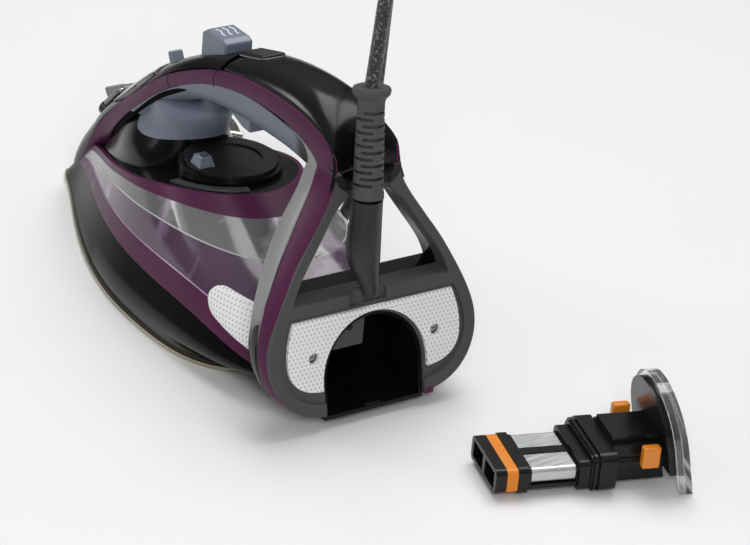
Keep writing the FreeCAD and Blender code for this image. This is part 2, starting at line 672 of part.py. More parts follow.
node("steam_button", button_block())
SPRAY_TILT = -15.3
spray = rounded_block(-INSERT[2], INSERT[2], INSERT[0] + 0.4, INSERT[1] - 1.2, 149.4, 155.6, 1.6)
spray.rotate(V(0, (INSERT[0] + INSERT[1]) / 2, 152.5), V(1, 0, 0), SPRAY_TILT)
node("spray_button", spray)
SPRING_BASE = 123.0
node("steam_button_spring", spring(0.5, 3.5, 7.2, 4, V(0, -22, SPRING_BASE)))
lever = lever_plate(4.2, 1.7, 0, 12.5)
node("steam_lever", lever.makeFillet(1.2, lever.Edges))


def trigger_body():
    y0, y1, half = TRIGGER
    profile = [V(-half, y1, 124), V(-half, y1 - 4, 118), V(-half, y0 + 8, 110.5), V(-half, y0, 110.0),
               V(-half, y0, 119), V(-half, y0 + 6, 124)]
    body_shape = polygon_prism(profile, V(2 * half, 0, 0))
    return body_shape.makeFillet(1.4, body_shape.Edges)


trigger = trigger_body().cut(cylinder(PIN_R + 0.05, 40, V(-20, TRIGGER_PIVOT.y, TRIGGER_PIVOT.z), V(1, 0, 0)))
node("trigger", trigger)
node("trigger_pin", trigger_pin)

# ---- thermostat dial -------------------------------------------------------------------
dial_base = V(0, DIAL_Y, DIAL_Z)
dial = cylinder(DIAL_R - 1.8, 4.0, dial_base).cut(cylinder(17.5, 3, dial_base + V(0, 0, 3.0)))
dial = dial.fuse(cylinder(2.6, 12, dial_base - V(0, 0, 12)))
node("dial_bezel", cylinder(DIAL_R + 1.0, 8.2, dial_base - V(0, 0, 6))
     .cut(cylinder(DIAL_R - 1.4, 20, dial_base - V(0, 0, 8)))
     .cut(pillar))
node("dial", dial)
POINTER = (-24.6, -15.2)
node("dial_pointer", rounded_block(
    POINTER[0], POINTER[1], DIAL_Y - 5.5, DIAL_Y + 5.5, DIAL_Z + 4.0, DIAL_Z + 9.5, 1.2))
guide = cylinder(DIAL_R + 8.5, 30, V(0, DIAL_Y, 65)).cut(cylinder(DIAL_R + 3.0, 40, V(0, DIAL_Y, 60)))
guide = guide.common(polygon_prism([V(0, DIAL_Y, 60), V(-60, DIAL_Y + 6, 60), V(-60, -120, 60), V(-20, -120, 60)],
                                   V(0, 0, 40)))
guide = guide.common(profile_zone(shifted(DECK_LINE, 0.05), shifted(DECK_LINE, 0.9)))
node("fabric_guide", guide.common(body_loft(2.6)))

# ---- nose: fill flap, nozzle, trim -------------------------------------------------------
FLAP_PIVOT = V(0, 68.0, 81.3)
flap = rounded_block(-8.0, 8.0, 0, 19.0, 0, 3.2, 1.2)
flap = flap.fuse(rounded_block(-6.5, 6.5, 12.5, 15.5, 1.0, 9.5, 1.2))
flap.rotate(V(0, 0, 0), V(1, 0, 0), -44.0)
flap.translate(V(0, 69.5, 78.5))
flap_lug = cylinder(2.2, 10, V(-5, FLAP_PIVOT.y, FLAP_PIVOT.z), V(1, 0, 0))
flap_lug = flap_lug.fuse(block(-5, 5, FLAP_PIVOT.y, FLAP_PIVOT.y + 6, FLAP_PIVOT.z - 2.2, FLAP_PIVOT.z))
flap = flap.fuse(flap_lug).cut(cylinder(PIN_R + 0.05, 40, V(-20, FLAP_PIVOT.y, FLAP_PIVOT.z), V(1, 0, 0)))
node("fill_flap", flap)
node("flap_pin", cylinder(PIN_R, 14, V(-7, FLAP_PIVOT.y, FLAP_PIVOT.z), V(1, 0, 0)))
nozzle_mouth = cylinder(2.2, 4, NOZZLE_BASE + NOZZLE_AXIS * 10, NOZZLE_AXIS)
nozzle = cylinder(NOZZLE_R, 13, NOZZLE_BASE, NOZZLE_AXIS).cut(nozzle_mouth)
node("spray_nozzle", nozzle)

# ---- side badges --------------------------------------------------------------------------
BADGE_LOW = [(-172, 25), (-150, 29), (-125, 33), (-108, 38)]
BADGE_HIGH = [(-172, 43), (-150, 47), (-125, 49), (-108, 49)]
badge = body_loft(-0.9).cut(body_loft(-0.12)).common(profile_zone(BADGE_LOW, BADGE_HIGH))
badge = badge.cut(heel_cut).cut(bay_outer)
node("side_badges", badge)

# ---- calc cartridge, in its own frame: x from its tip to its cap, resting on z = 0 --------
CARTRIDGE_TIP = V(13.7, -269.7, 0.0)
CARTRIDGE_TURN = -17.6
CAP_X = 98.0


def placed(shape):
    shape.rotate(V(0, 0, 0), V(0, 0, 1), CARTRIDGE_TURN)
    shape.translate(CARTRIDGE_TIP)
    return shape


def soft_box(x0, x1, half, z0, z1, r):
    """Box along the cartridge with its long edges rounded."""
    box = block(x0, x1, -half, half, z0, z1)
    long_edges = [e for e in box.Edges if abs(e.tangentAt(0).x) > 0.9]
    return box.makeFillet(r, long_edges)


CAGE = (2.5, 16.0)
cage = soft_box(0, 6, 19.5, CAGE[0], CAGE[1], 3.0)
cage = cage.fuse(soft_box(6, 12, 17.5, CAGE[0] + 1.5, CAGE[1] - 1.5, 2.0))
cage = cage.fuse(soft_box(12, 17, 20.0, CAGE[0] - 0.5, CAGE[1] + 0.5, 3.0))
cage = cage.fuse(soft_box(17, 44, 18.8, CAGE[0] + 0.6, CAGE[1] - 0.6, 2.4))
cage = cage.fuse(soft_box(44, 50, 20.5, CAGE[0] - 1.0, CAGE[1] + 2.0, 3.0))
for low, high in ((-16.5, -1.8), (1.8, 16.5)):
    cage = cage.cut(block(-1, 4.5, low, high, CAGE[0] + 2.2, CAGE[1] - 2.2))
for low, high in ((-20, -3.0), (3.0, 20)):
    cage = cage.cut(block(19, 43, low, high, CAGE[0] + 4.0, 20))
seal_hole = soft_box(5, 13, 17.5, CAGE[0] + 1.5, CAGE[1] - 1.5, 2.0)
seal = soft_box(6.0, 11.8, 19.8, CAGE[0] + 0.2, CAGE[1] - 0.2, 3.0).cut(seal_hole)
plates = [soft_box(19.3, 42.7, 18.4, CAGE[0] + 4.3, CAGE[1] - 1.0, 2.4).common(block(0, 60, low, high, 0, 20))
          for low, high in ((-20, -3.3), (3.3, 20))]
flange = soft_box(54, 63, 23.0, 1.0, 22.0, 4.5)
lips = soft_box(50, 54, 21.5, 1.8, 20.5, 4.5).fuse(soft_box(51.2, 52.6, 22.6, 0.8, 21.5, 4.5))
block_body = block(63, 92, -15.5, 15.5, 3.0, 23.0).fuse(block(63, 92, -12.0, 12.0, 22.0, 26.5))
for y in (-15.5, 15.5):
    block_body = block_body.fuse(cylinder(2.2, 29, V(63, y, 14.0), V(1, 0, 0)))


def cap_plate(radius, base, x0, x1):
    """Arch plate leaning with the heel face."""
    left, right = V(x0, -radius, base), V(x0, radius, base)
    shoulder = 24.0
    up_left, up_right = V(x0, -radius, shoulder), V(x0, radius, shoulder)
    arc = Part.Arc(up_right, V(x0, 0, shoulder + radius), up_left).toShape()
    wire = Part.Wire([Part.makeLine(left, right), Part.makeLine(right, up_right), arc, Part.makeLine(up_left, left)])
    solid = Part.Face(wire).extrude(V(x1 - x0, 0, 0))
    shear = FreeCAD.Matrix()
    shear.A13 = -HEEL_LEAN
    return solid.transformGeometry(shear)


PLATE_X = CAP_X - 5.5
back_plate = cap_plate(26.5, 10.0, PLATE_X, CAP_X + 2.0).cut(cylinder(2.6, 20, V(CAP_X - 14, -16.0, 27.0), V(1, 0, 0)))
block_body = block_body.cut(cap_plate(26.5, -20.0, PLATE_X, CAP_X + 60))
hub = block(88, CAP_X + 4, -13, 13, 4, 22).cut(cap_plate(26.6, -20.0, PLATE_X, CAP_X + 60)).cut(block_body)
cap = cap_plate(29.5, 0.3, CAP_X + 2.0, CAP_X + 5.0).fuse(cap_plate(29.5, 0.3, CAP_X - 2.0, CAP_X + 2.0)
                                                          .cut(cap_plate(27.6, -5.0, CAP_X - 7.0, CAP_X + 2.0)))
node("cartridge_cage", placed(cage))
node("cartridge_seal", placed(seal))
node("cartridge_plates", placed(Part.makeCompound(plates)))
node("cartridge_lips", placed(lips))
node("cartridge_flange", placed(flange))
node("cartridge_block", placed(block_body.fuse(hub)))
node("cartridge_back_plate", placed(back_plate))
node("cartridge_cap", placed(cap))
for name, sign in (("near", -1), ("far", 1)):
    finger = block(75.5, 85.0, -2.5, 2.5, 14, 26)
    finger = finger.makeFillet(1.2, finger.Edges)
    finger.translate(V(0, sign * 22.5, 0))
    node("latch_" + name, placed(finger))

# ---- inside the handle and heel -------------------------------------------------------------
node("pump_body", pump_cylinder(0.0))
node("control_board", block(-11, 11, -128, -96, 138, 139.6))
node("terminal_block", rounded_block(-10, 10, -152, -138, 138, 147, 1.0))


def write_parts():
    for name, shape in NODES.items():
        shape.exportStep("parts/" + name + ".step")
        box = shape.BoundBox
        spans = [round(v, 1) for v in (box.XMin, box.XMax, box.YMin, box.YMax, box.ZMin, box.ZMax)]
        print(name, len(shape.Solids), round(shape.Volume), shape.isValid(), spans)
    print("nodes", len(NODES))


write_parts()
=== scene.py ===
import bpy, bmesh, json, math
from mathutils import Matrix, Vector
from mathutils.bvhtree import BVHTree


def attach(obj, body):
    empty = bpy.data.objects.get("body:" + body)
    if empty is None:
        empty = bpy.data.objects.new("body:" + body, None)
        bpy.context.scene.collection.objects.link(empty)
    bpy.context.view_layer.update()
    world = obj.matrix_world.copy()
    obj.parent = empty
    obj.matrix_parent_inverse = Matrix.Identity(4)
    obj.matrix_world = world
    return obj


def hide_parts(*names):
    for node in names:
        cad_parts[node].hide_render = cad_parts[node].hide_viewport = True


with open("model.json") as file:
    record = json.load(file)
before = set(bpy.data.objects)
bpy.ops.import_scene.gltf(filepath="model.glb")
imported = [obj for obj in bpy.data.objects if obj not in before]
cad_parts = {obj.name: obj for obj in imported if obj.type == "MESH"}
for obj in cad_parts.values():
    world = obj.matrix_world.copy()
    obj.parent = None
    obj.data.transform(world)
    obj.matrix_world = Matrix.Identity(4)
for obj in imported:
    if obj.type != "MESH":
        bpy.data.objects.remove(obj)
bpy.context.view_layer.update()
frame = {"record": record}
MM = 0.001

# ---- materials ---------------------------------------------------------------------


class Nodes:
    """Small helper that adds and links shader nodes in one material."""

    def __init__(self, name):
        self.material = bpy.data.materials.new(name)
        self.material.use_nodes = True
        self.tree = self.material.node_tree
        self.shader = self.tree.nodes["Principled BSDF"]
        coords = self.tree.nodes.new("ShaderNodeTexCoord")
        self.place = coords.outputs["Object"]

    def add(self, kind, **settings):
        made = self.tree.nodes.new(kind)
        for key, value in settings.items():
            setattr(made, key, value)
        return made

    def link(self, source, target):
        self.tree.links.new(source, target)

    def noise(self, scale, detail=3.0, stretch=None):
        made = self.add("ShaderNodeTexNoise")
        made.inputs["Scale"].default_value = scale
        made.inputs["Detail"].default_value = detail
        place = self.place
        if stretch:
            mapping = self.add("ShaderNodeMapping")
            mapping.inputs["Scale"].default_value = stretch
            self.link(place, mapping.inputs["Vector"])
            place = mapping.outputs["Vector"]
        self.link(place, made.inputs["Vector"])
        return made.outputs["Fac"]

    def ramp(self, value, low, high, colour_a, colour_b):
        made = self.add("ShaderNodeValToRGB")
        made.color_ramp.elements[0].position = low
        made.color_ramp.elements[1].position = high
        made.color_ramp.elements[0].color = (*colour_a, 1)
        made.color_ramp.elements[1].color = (*colour_b, 1)
        self.link(value, made.inputs["Fac"])
        return made.outputs["Color"]

    def spread(self, value, low, high):
        made = self.add("ShaderNodeMapRange")
        made.inputs["From Min"].default_value = 0.3
        made.inputs["From Max"].default_value = 0.7
        made.inputs["To Min"].default_value = low
        made.inputs["To Max"].default_value = high
        self.link(value, made.inputs["Value"])
        return made.outputs["Result"]

    def bump(self, height, strength, distance, edge=0.0004):
        made = self.add("ShaderNodeBump")
        made.inputs["Strength"].default_value = strength
        made.inputs["Distance"].default_value = distance
        self.link(height, made.inputs["Height"])
        if edge:
            rounded = self.add("ShaderNodeBevel", samples=4)
            rounded.inputs["Radius"].default_value = edge
            self.link(rounded.outputs["Normal"], made.inputs["Normal"])
        self.link(made.outputs["Normal"], self.shader.inputs["Normal"])


def shade(colour, factor):
    return tuple(min(1.0, c * factor) for c in colour)


def moulded(name, colour, rough, grain=900.0, strength=0.06, vary=0.12, coat=0.0, metallic=0.0,
            shine=0.5, ior=1.45):
    """Moulded plastic or metal: gentle colour drift, fine grain, uneven sheen."""
    n = Nodes(name)
    drift = n.noise(22.0, 2.0)
    n.link(n.ramp(drift, 0.3, 0.7, shade(colour, 1 - vary), shade(colour, 1 + vary)), n.shader.inputs["Base Color"])
    fine = n.noise(grain, 2.0)
    n.link(n.spread(n.noise(60.0), rough * 0.88, min(1.0, rough * 1.12)), n.shader.inputs["Roughness"])
    n.bump(fine, strength, 0.00015, 0)
    n.shader.inputs["Metallic"].default_value = metallic
    n.shader.inputs["Specular IOR Level"].default_value = shine
    n.shader.inputs["IOR"].default_value = ior
    n.shader.inputs["Coat Weight"].default_value = coat
    n.shader.inputs["Coat Roughness"].default_value = 0.06
    return n.material


def brushed(name, colour, rough, stretch):
    n = Nodes(name)
    streak = n.noise(900.0, 3.0, stretch)
    n.link(n.ramp(streak, 0.3, 0.7, shade(colour, 0.9), shade(colour, 1.08)), n.shader.inputs["Base Color"])
    n.link(n.spread(streak, rough * 0.8, rough * 1.25), n.shader.inputs["Roughness"])
    n.bump(streak, 0.12, 0.0001)
    n.shader.inputs["Metallic"].default_value = 1.0
    return n.material


def clear_moulding(name, colour, rough, through, pale, vary=0.15):
    """Clear or tinted moulding: part of the light goes through, with pale flow streaks down it."""
    n = Nodes(name)
    drift = n.ramp(n.noise(14.0, 3.0), 0.3, 0.7, shade(colour, 1 - vary), shade(colour, 1 + vary))
    streaks = n.noise(34.0, 3.0, (1.0, 1.0, 0.22))
    mix = n.add("ShaderNodeMix")
    mix.data_type = "RGBA"
    n.link(n.spread(streaks, -1.9, 1.6), mix.inputs["Factor"])
    n.link(drift, mix.inputs[6])
    mix.inputs[7].default_value = (*pale, 1.0)
    n.link(mix.outputs[2], n.shader.inputs["Base Color"])
    n.link(n.spread(n.noise(40.0), rough * 0.8, rough * 1.3), n.shader.inputs["Roughness"])
    n.bump(n.noise(30.0, 1.0), 0.05, 0.0008, 0)
    n.shader.inputs["Transmission Weight"].default_value = through
    n.shader.inputs["IOR"].default_value = 1.4
    n.shader.inputs["Coat Weight"].default_value = 0.35
    n.shader.inputs["Coat Roughness"].default_value = 0.05
    return n.material


def share_along(tree, axis, start, end, easing="LINEAR"):
    """Socket that goes from 0 to 1 along one axis of the piece, from start to end in metres."""
    place = tree.nodes.new("ShaderNodeTexCoord")
    split = tree.nodes.new("ShaderNodeSeparateXYZ")
    reach = tree.nodes.new("ShaderNodeMapRange")
    reach.interpolation_type = easing
    reach.inputs["From Min"].default_value = start
    reach.inputs["From Max"].default_value = end
    tree.links.new(place.outputs["Object"], split.inputs["Vector"])
    tree.links.new(split.outputs[axis], reach.inputs["Value"])
    return reach.outputs["Result"]


def fading(material, colour, axis, start, end):
    """Blend a finish into another colour along one axis of the piece."""
    tree = material.node_tree
    base = tree.nodes["Principled BSDF"].inputs["Base Color"]
    source = base.links[0].from_socket
    mix = tree.nodes.new("ShaderNodeMix")
    mix.data_type = "RGBA"
    tree.links.new(share_along(tree, axis, start, end, "SMOOTHSTEP"), mix.inputs["Factor"])
    tree.links.new(source, mix.inputs[6])
    mix.inputs[7].default_value = (*colour, 1.0)
    tree.links.new(mix.outputs[2], base)
    return material


def polished_heel(name, colour, rough):
    """Black moulding that is polished low down towards the heel and duller elsewhere."""
    material = moulded(name, colour, rough, 1200, 0.01, 0.2)
    tree = material.node_tree
    both = tree.nodes.new("ShaderNodeMath")
    both.operation = "MULTIPLY"
    tree.links.new(share_along(tree, "Z", 0.019, 0.006), both.inputs[0])
    tree.links.new(share_along(tree, "Y", 0.02, -0.09), both.inputs[1])
    shine = tree.nodes.new("ShaderNodeMapRange")
    shine.inputs["To Min"].default_value = 0.03
    shine.inputs["To Max"].default_value = 0.9
    tree.links.new(both.outputs["Value"], shine.inputs["Value"])
    tree.links.new(shine.outputs["Result"], tree.nodes["Principled BSDF"].inputs["Specular IOR Level"])
    return material


def dotted(name, axis_a, axis_b, pitch_a, pitch_b, white, grey):
    """White plate with staggered long dots, laid out along two axes of the piece."""
    n = Nodes(name)
    split = n.add("ShaderNodeSeparateXYZ")
    n.link(n.place, split.inputs["Vector"])

    def maths(operation, a, b=None):
        made = n.add("ShaderNodeMath", operation=operation)
        for socket, value in zip(made.inputs, (a, b)):
            if value is None:
                continue
            if isinstance(value, (int, float)):
                socket.default_value = value
            else:
                n.link(value, socket)
        return made.outputs["Value"]

    a = maths("DIVIDE", split.outputs[axis_a], pitch_a)
    b = maths("DIVIDE", split.outputs[axis_b], pitch_b)
    stagger = maths("MULTIPLY", maths("FLOORED_MODULO", maths("FLOOR", b), 2.0), 0.5)
    a = maths("SUBTRACT", maths("FRACT", maths("ADD", a, stagger)), 0.5)
    b = maths("SUBTRACT", maths("FRACT", b), 0.5)
    a = maths("DIVIDE", a, 0.26)
    b = maths("DIVIDE", b, 0.34)
    reach = maths("ADD", maths("MULTIPLY", a, a), maths("MULTIPLY", b, b))
    n.link(n.ramp(reach, 0.55, 1.0, grey, white), n.shader.inputs["Base Color"])
    n.link(n.spread(n.noise(120.0), 0.42, 0.52), n.shader.inputs["Roughness"])
    n.bump(reach, 0.15, 0.0001, 0)
    return n.material


AUBERGINE = (0.078, 0.017, 0.054)
HEEL_GREY = (0.068, 0.068, 0.07)
BLUE_GREY = (0.148, 0.163, 0.215)
ORANGE = (0.70, 0.215, 0.012)

SURFACES = {
    "sole_metal": moulded("champagne_sole", (0.50, 0.46, 0.34), 0.32, 700, 0.05, 0.08, 0.0, 1.0),
    "cast_metal": moulded("cast_aluminium", (0.55, 0.55, 0.56), 0.5, 400, 0.3, 0.1, 0.0, 1.0),
    "element_steel": brushed("element_steel", (0.45, 0.45, 0.46), 0.4, (1, 0.1, 1)),
    "gasket": moulded("gasket_rubber", (0.02, 0.02, 0.02), 0.7, 500, 0.2),
    "black_gloss": moulded("black_gloss", (0.004, 0.004, 0.0043), 0.2, 1200, 0.01, 0.2, ior=1.3),
    "black_satin": moulded("black_satin", (0.009, 0.009, 0.0095), 0.36, 1100, 0.05, 0.15, ior=1.33),
    "skirt_gloss": polished_heel("skirt_gloss", (0.002, 0.002, 0.0022), 0.2),
    "cartridge_black": moulded("cartridge_black", (0.007, 0.007, 0.007), 0.26, 1100, 0.04, 0.15, ior=1.36),
    "guide_dark": moulded("guide_dark", (0.05, 0.055, 0.056), 0.3, 700, 0.08, 0.3),
    "aubergine": moulded("aubergine_satin", AUBERGINE, 0.36, 1500, 0.03, 0.06, shine=0.3, ior=1.3),
    "guard_satin": moulded("guard_satin", (0.022, 0.022, 0.023), 0.36, 1400, 0.1, 0.1, shine=0.45),
    "pointer_silver": brushed("pointer_silver", (0.45, 0.47, 0.52), 0.22, (1, 0.1, 1)),
    "tank_purple": clear_moulding("tank_purple", (0.11, 0.06, 0.11), 0.14, 0.3, (0.42, 0.30, 0.45)),
    "tank_clear": clear_moulding("tank_clear", (0.20, 0.20, 0.205), 0.14, 0.3, (0.50, 0.46, 0.51)),
    "heel_grey": moulded("heel_grain", HEEL_GREY, 0.6, 1600, 0.14, 0.05, shine=0.3),
    "bevel_grey": moulded("bevel_silver", (0.22, 0.22, 0.215), 0.3, 1500, 0.03, 0.06, shine=0.5),
    "grip_blue": moulded("soft_grip", BLUE_GREY, 0.5, 1500, 0.12, 0.05),
    "button_blue": moulded("button_satin", BLUE_GREY, 0.38, 1500, 0.06, 0.05, 0.15),
    "white_pad": dotted("dotted_pad", "X", "Z", 0.0025, 0.0022, (0.80, 0.80, 0.80), (0.50, 0.50, 0.50)),
    "inner_plastic": moulded("inner_plastic", (0.20, 0.20, 0.205), 0.5),
    "steel_pin": brushed("pin_steel", (0.45, 0.45, 0.46), 0.35, (0.1, 1, 1)),
    "spring_steel": brushed("spring_steel", (0.5, 0.5, 0.52), 0.3, (1, 1, 0.2)),
    "plug_black": moulded("plug_rubber", (0.02, 0.02, 0.021), 0.45, 900, 0.15),
    "brass_pins": brushed("nickel_pins", (0.62, 0.60, 0.55), 0.25, (0.2, 0.2, 1)),
    "orange": moulded("orange_latch", ORANGE, 0.3, 1200, 0.04, 0.08, 0.3),
    "orange_seal": moulded("orange_silicone", ORANGE, 0.42, 900, 0.08, 0.08),
    "plate_metal": brushed("brushed_plates", (0.58, 0.60, 0.59), 0.38, (0.06, 1.0, 1.0)),
    "cap_clear": clear_moulding("cap_clear", (0.86, 0.86, 0.87), 0.04, 0.96, (0.92, 0.92, 0.93), 0.04),
    "seal_black": moulded("lip_rubber", (0.012, 0.012, 0.012), 0.4, 900, 0.1),
    "board_green": moulded("board_green", (0.02, 0.10, 0.04), 0.4),
}

SURFACES["underside_fade"] = fading(moulded("underside_fade", BLUE_GREY, 0.5, 1500, 0.12, 0.05),
                                    (0.008, 0.008, 0.008), "Y", -0.128, -0.136)
# bevel strip: silver high up, turning black lower down the heel; this change is a painted reflection on one glossy
# material
SURFACES["bevel_fade"] = fading(moulded("bevel_fade", (0.25, 0.25, 0.245), 0.3, 1500, 0.03, 0.06, ior=1.36),
                                (0.006, 0.006, 0.006), "Z", 0.064, 0.044)
# pieces whose finish is more particular than their slot
FINISH_OF = {"skirt": "skirt_gloss", "handle_underside": "underside_fade", "heel_bevel": "black_gloss",
             "fabric_guide": "guide_dark"}
for piece_name in ("cage", "block", "back_plate", "flange", "lips"):
    FINISH_OF["cartridge_" + piece_name] = "cartridge_black"

slot_of = {part["node"]: part["material_slot"] for part in frame["record"]["subparts"]}
for node_name, slot_name in slot_of.items():
    if slot_name not in SURFACES:
        continue
    shown = bpy.data.objects[node_name]
    shown.data.materials.clear()
    shown.data.materials.append(SURFACES[FINISH_OF.get(node_name, slot_name)])

# ---- mains lead ----------------------------------------------------------------------
CORD_D = 7.5
CORD_R = CORD_D / 2
FLOOR_Z = CORD_R + 0.1
COIL_X, COIL_Y = 62.0, 126.0
OUTER_TURN = 41.25
INNER_TURN = 33.75

CORD_ROUTE = [
    (-1.74, -167.29, 178.34),
    (0.0, -171.0, 232.0),
    (13.0, -156.0, 279.0),
    (37.0, -125.0, 300.0),
    (62.0, -91.0, 286.0),
    (76.5, -69.0, 243.0),
    (78.5, -62.5, 170.0),
    (80.0, -57.5, 100.0),
    (81.0, -47.0, 47.0),
    (83.0, -22.0, 12.0),
    (84.0, 12.0, FLOOR_Z),
    (90.0, 48.0, FLOOR_Z),
    (101.0, 84.0, FLOOR_Z),
]


def coil_points():
    """Six turns, outer and inner side by side, three high, then up to the plug's tail."""
    columns = [OUTER_TURN, INNER_TURN, INNER_TURN, OUTER_TURN, OUTER_TURN, INNER_TURN]
    levels = [0, 0, 1, 1, 2, 2]
    per_turn = 16
    points = []
    for i in range(per_turn * 6 - 5):
        turn = i // per_turn
        share = (i % per_turn) / per_turn
        after = min(turn + 1, 5)
        ease = max(0.0, (share - 0.7) / 0.3)
        radius = columns[turn] + (columns[after] - columns[turn]) * ease
        level = levels[turn] + (levels[after] - levels[turn]) * ease
        angle = 2 * math.pi * i / per_turn
        x, y = COIL_X + radius * math.cos(angle), COIL_Y + radius * math.sin(angle)
        points.append((x, y, FLOOR_Z + CORD_D * level))
    return points


def make_cord():
    points = CORD_ROUTE + coil_points()
    curve = bpy.data.curves.new("mains_lead", "CURVE")
    curve.dimensions = "3D"
    spline = curve.splines.new("NURBS")
    spline.points.add(len(points) - 1)
    for target, (x, y, z) in zip(spline.points, points):
        target.co = (x * MM, y * MM, z * MM, 1.0)
    spline.order_u = 3
    spline.use_endpoint_u = True
    spline.resolution_u = 8
    curve.bevel_depth = CORD_R * MM
    curve.bevel_resolution = 6
    curve.use_fill_caps = True
    lead = bpy.data.objects.new("mains_lead", curve)
    bpy.context.scene.collection.objects.link(lead)
    return lead


def braid_material():
    n = Nodes("woven_braid")
    wave_a = n.add("ShaderNodeTexVoronoi", feature="F1")
    wave_a.inputs["Scale"].default_value = 900.0
    n.link(n.place, wave_a.inputs["Vector"])
    fleck = n.noise(700.0, 1.0)
    n.link(n.ramp(fleck, 0.56, 0.66, (0.022, 0.022, 0.023), (0.16, 0.16, 0.165)), n.shader.inputs["Base Color"])
    n.link(n.spread(n.noise(200.0), 0.75, 0.9), n.shader.inputs["Roughness"])
    n.bump(wave_a.outputs["Distance"], 0.7, 0.0006, 0)
    n.shader.inputs["Sheen Weight"].default_value = 0.3
    return n.material


lead = make_cord()
lead.data.materials.append(braid_material())
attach(lead, "iron_body")
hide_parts("cord_lead", "cord_coil")

# ---- mesh helpers ------------------------------------------------------------------


def surface(name, rows, material, body, thickness=0.0, levels=1, closed=False, offset=1.0):
    """Smooth sheet through rows of points in millimetres, with a wall if thickness is given."""
    mesh = bpy.data.meshes.new(name)
    width = len(rows[0])
    verts = [(x * MM, y * MM, z * MM) for row in rows for x, y, z in row]
    faces = []
    for i in range(len(rows) - 1):
        for j in range(width if closed else width - 1):
            k = (j + 1) % width
            faces.append((i * width + j, i * width + k, (i + 1) * width + k, (i + 1) * width + j))
    mesh.from_pydata(verts, [], faces)
    piece = bpy.data.objects.new(name, mesh)
    bpy.context.scene.collection.objects.link(piece)
    for face in mesh.polygons:
        face.use_smooth = True
    if thickness:
        wall = piece.modifiers.new("wall", "SOLIDIFY")
        wall.thickness = thickness * MM
        wall.offset = offset
    if levels:
        smooth = piece.modifiers.new("smooth", "SUBSURF")
        smooth.levels = levels
        smooth.render_levels = levels
    mesh.materials.append(material)
    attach(piece, body)
    return piece


def flipped(rows):
    return [[(-x, y, z) for x, y, z in reversed(row)] for row in rows]


def line(name, points, radius, material, body, closed=False):
    """Round bead or groove line along points in millimetres."""
    curve = bpy.data.curves.new(name, "CURVE")
    curve.dimensions = "3D"
    spline = curve.splines.new("NURBS")
    spline.points.add(len(points) - 1)
    for target, (x, y, z) in zip(spline.points, points):
        target.co = (x * MM, y * MM, z * MM, 1.0)
    spline.order_u = 3
    spline.use_cyclic_u = closed
    spline.use_endpoint_u = not closed
    spline.resolution_u = 6
    curve.bevel_depth = radius * MM
    curve.bevel_resolution = 3
    piece = bpy.data.objects.new(name, curve)
    bpy.context.scene.collection.objects.link(piece)
    curve.materials.append(material)
    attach(piece, body)
    return piece


def between(table, key):
    """Straight-line reading of rows (key, value, value...)."""
    table = sorted(table)
    key = min(max(key, table[0][0]), table[-1][0])
    for a, b in zip(table, table[1:]):
        if key <= b[0]:
            share = (key - a[0]) / (b[0] - a[0])
            return [p + (q - p) * share for p, q in zip(a[1:], b[1:])]
    return list(table[-1][1:])


# station y: crown, underside, half width and squareness of the handle
HANDLE = [
    (119.0, 21.5, 8.0, 6.0, 2.0), (109.0, 35.3, 16.0, 9.5, 2.0), (97.0, 49.3, 26.0, 12.5, 2.0),
    (84.0, 62.8, 38.0, 15.0, 2.0), (66.0, 80.0, 52.0, 17.3, 2.0), (45.0, 95.6, 66.0, 19.0, 2.1),
    (20.0, 115.5, 86.0, 20.0, 2.3), (-5.0, 131.2, 104.0, 20.3, 2.5), (-35.0, 144.8, 116.0, 20.3, 2.7),
    (-70.0, 156.0, 120.5, 20.3, 2.7), (-105.0, 162.0, 121.5, 20.3, 2.7), (-135.0, 161.5, 120.0, 20.5, 2.7),
    (-153.0, 156.0, 120.0, 20.5, 2.7), (-176.0, 147.0, 120.0, 20.5, 2.7),
]


def handle_half(y, z):
    """Half width of the handle at a side-view point."""
    crown, under, half, n = between(HANDLE, y)
    middle, high = (crown + under) / 2, (crown - under) / 2
    share = min(0.985, abs(z - middle) / high)
    return half * (1 - share ** n) ** (1 / n)


def handle_crown(y):
    return between(HANDLE, y)[0]


HEEL_Y, HEEL_LEAN = -195.0, 0.204


def heel_y(z, depth=0.0):
    return HEEL_Y + HEEL_LEAN * z + depth


# ---- purple ribbon from the nose over the handle and down round the heel --------------
# side-view points (y, z): outer edge, inner edge
RIBBON_SIDE = [
    ((109, 19), (100, 17.5)), ((101, 28), (93, 25.5)), ((93, 37.3), (85.5, 34.5)), ((84, 48.5), (77.5, 44.5)),
    ((74.5, 60.3), (68, 54)), ((62, 73), (57, 65)), ((47.5, 86), (43.5, 77.5)), ((34, 96.5), (30, 88.5)),
    ((21, 106), (17.5, 98.7)), ((8, 116), (5, 108)), ((-6, 124), (-9.5, 116.5)), ((-21, 131.6), (-24, 124.5)),
    ((-36, 138.3), (-38, 130.3)), ((-53, 144.4), (-53, 135.3)), ((-71, 148.8), (-69, 139.2)),
    ((-91, 151.6), (-87, 141.7)), ((-112, 152.8), (-105, 142.6)), ((-131, 152.4), (-119, 142.3)),
    ((-145, 150.4), (-130, 141.4)), ((-156, 146.6), (-138.5, 139.3)),
]
# heel points: half width, height, then depth of the inner edge and of the bevel's far edge
RIBBON_HEEL = [
    (19.4, 129.5, 17.0, 28.0), (22.4, 122.0, 16.8, 28.4), (26.8, 114.0, 16.4, 28.8), (34.6, 103.2, 15.4, 29.5),
    (41.8, 92.0, 14.4, 29.5), (51.3, 76.4, 12.8, 26.5), (59.0, 61.2, 11.6, 23.0), (63.2, 47.0, 10.8, 21.0),
    (63.2, 36.0, 10.6, 20.0), (59.8, 26.0, 10.6, 20.0), (53.6, 17.8, 10.6, 20.0), (45.0, 12.0, 10.6, 20.0),
    (38.0, 9.6, 10.6, 20.0), (31.2, 8.2, 10.6, 20.0),
]
SKIN_OUT = 0.45
INNER_LIFT, BEVEL_LIFT = 1.9, 0.4


